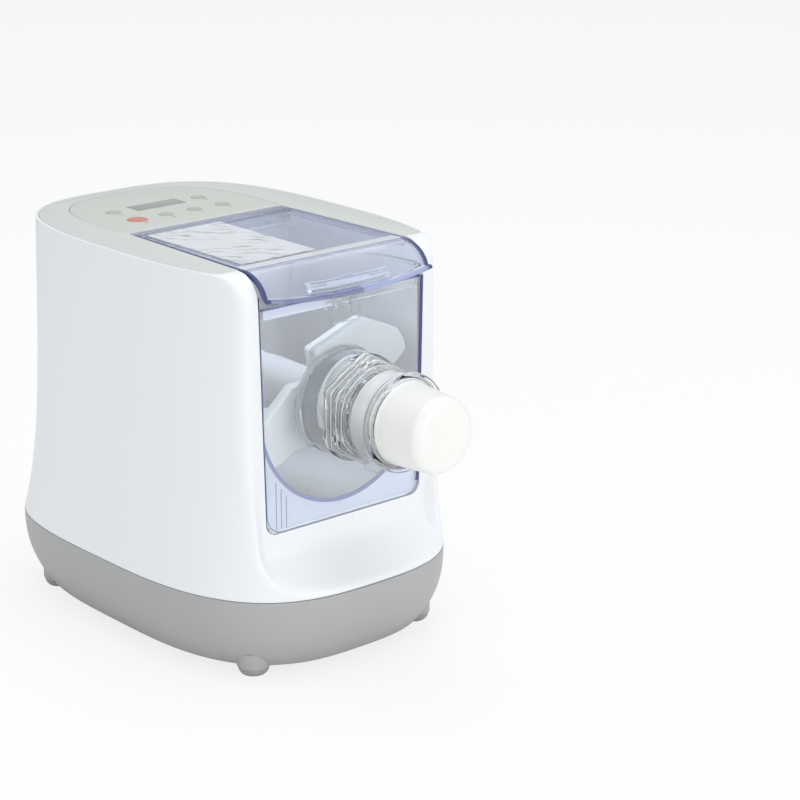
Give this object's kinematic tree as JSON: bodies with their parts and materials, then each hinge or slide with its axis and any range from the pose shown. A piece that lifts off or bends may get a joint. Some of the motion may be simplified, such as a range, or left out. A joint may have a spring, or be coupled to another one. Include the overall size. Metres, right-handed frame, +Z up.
{
  "type": "electric pasta maker",
  "caption": "Countertop electric pasta maker: a clear-lidded mixing bowl with a paddle, and an auger that presses dough out through a die cap at the front.",
  "frame": {"origin": "centre of the machine's bounding box, on the surface that its feet stand on", "axes": "+Z up, the nozzle and the front panel face -Y, +X to the right seen from the front"},
  "size_m": [0.242, 0.4084, 0.2957],
  "materials": {
    "shell_white": "moulded, glossy",
    "deck_grey": "moulded, satin",
    "panel_green_grey": "printed film, matte",
    "display_grey": "tinted window, glossy",
    "key_orange": "moulded, satin",
    "key_grey": "moulded, satin",
    "base_grey": "moulded, fine texture",
    "foot_rubber": "matte",
    "seal_rubber": "silicone, matte",
    "clear_plastic": "clear, polished",
    "label_frost": "frosted, plain",
    "liner_white": "moulded, glossy",
    "food_white": "moulded, warm white",
    "black_plastic": "moulded, matte",
    "steel": "turned steel",
    "cast_alloy": "die cast",
    "zinc_can": "zinc plated",
    "laminations": "steel stack and enamelled wire",
    "magnet_grey": "sintered magnet",
    "gear_nylon": "nylon",
    "pinion_brass": "machined",
    "chassis_metal": "galvanised plate",
    "board_green": "printed circuit board",
    "cable_grey": "ribbon cable",
    "lead_red": "insulated wire"
  },
  "bodies": {
    "housing": {"base_shell": "base_grey", "foot_front_left": "foot_rubber", "foot_front_right": "foot_rubber", "foot_rear_left": "foot_rubber", "foot_rear_right": "foot_rubber", "base_screws": "steel", "body_shell": "shell_white", "top_deck": "deck_grey", "control_panel": "panel_green_grey", "display_window": "display_grey", "display_module": "black_plastic", "control_board": "board_green", "chamber_liner": "liner_white", "mixing_bowl": "clear_plastic", "shaft_seal": "seal_rubber", "hinge_brackets": "liner_white", "hinge_pins": "steel", "lid_sensor": "black_plastic", "gearbox_housing": "cast_alloy", "gearbox_cover": "cast_alloy", "output_bearings": "steel", "idler_axle": "steel", "motor_can": "zinc_can", "gearbox_screws": "steel", "chassis": "chassis_metal", "main_board": "board_green", "board_screws": "steel", "power_inlet": "black_plastic", "panel_cable": "cable_grey", "motor_leads": "lead_red"},
    "lid_body": {"lid": "clear_plastic", "lid_label": "label_frost", "lid_magnet": "magnet_grey"},
    "panel_body": {"front_panel": "clear_plastic"},
    "die_body": {"die_cap": "food_white", "die_washer": "seal_rubber"},
    "nut_body": {"die_nut": "clear_plastic"},
    "drive_body": {"drive_shaft": "steel", "mixing_paddle": "food_white", "auger_screw": "food_white", "output_gear": "gear_nylon"},
    "idler_body": {"idler_gear": "steel"},
    "rotor_body": {"motor_rotor": "laminations", "motor_pinion": "pinion_brass", "cooling_fan": "black_plastic"},
    "start_key": {"start_button": "key_orange"},
    "menu_key": {"menu_button": "key_grey"},
    "minus_key": {"minus_button": "key_grey"},
    "plus_key": {"plus_button": "key_grey"},
    "power_key": {"power_button": "key_grey"},
    "timer_key": {"timer_button": "key_grey"}
  },
  "joints": [
    {"name": "lid_hinge", "type": "hinge", "parent": "housing", "child": "lid_body", "pos_m": [0, 0.05475, 0.2885], "axis": [-1, 0, 0], "range_deg": [0, 85]},
    {"name": "panel_slide", "type": "slide", "parent": "housing", "child": "panel_body", "axis": [0, -1, 0], "range_m": [0, 0.08]},
    {"name": "die_travel", "type": "slide", "parent": "panel_body", "child": "die_body", "axis": [0, -1, 0], "range_m": [0, 0.0217]},
    {"name": "nut_turn", "type": "hinge", "parent": "die_body", "child": "nut_body", "pos_m": [0, -0.13675, 0.1905], "axis": [0, -1, 0], "range_deg": [0, 2160]},
    {"name": "paddle_spin", "type": "hinge", "parent": "housing", "child": "drive_body", "pos_m": [0, 0.03325, 0.1905], "axis": [0, -1, 0], "continuous": true},
    {"name": "idler_spin", "type": "hinge", "parent": "housing", "child": "idler_body", "pos_m": [0, 0.08325, 0.13038], "axis": [0, -1, 0], "continuous": true},
    {"name": "motor_spin", "type": "hinge", "parent": "housing", "child": "rotor_body", "pos_m": [0, 0.13325, 0.07626], "axis": [0, -1, 0], "continuous": true},
    {"name": "start_press", "type": "slide", "parent": "housing", "child": "start_key", "axis": [0, 0, -1], "range_m": [0, 0.0008], "stiffness_N_per_m": 900},
    {"name": "menu_press", "type": "slide", "parent": "housing", "child": "menu_key", "axis": [0, 0, -1], "range_m": [0, 0.0008], "stiffness_N_per_m": 900},
    {"name": "minus_press", "type": "slide", "parent": "housing", "child": "minus_key", "axis": [0, 0, -1], "range_m": [0, 0.0008], "stiffness_N_per_m": 900},
    {"name": "plus_press", "type": "slide", "parent": "housing", "child": "plus_key", "axis": [0, 0, -1], "range_m": [0, 0.0008], "stiffness_N_per_m": 900},
    {"name": "power_press", "type": "slide", "parent": "housing", "child": "power_key", "axis": [0, 0, -1], "range_m": [0, 0.0008], "stiffness_N_per_m": 900},
    {"name": "timer_press", "type": "slide", "parent": "housing", "child": "timer_key", "axis": [0, 0, -1], "range_m": [0, 0.0008], "stiffness_N_per_m": 900}
  ],
  "couplings": [
    {"joint": "die_travel", "follows": "nut_turn", "m_per_rad": 0.00057296},
    {"joint": "idler_spin", "follows": "paddle_spin", "ratio": -4},
    {"joint": "motor_spin", "follows": "paddle_spin", "ratio": 20}
  ]
}
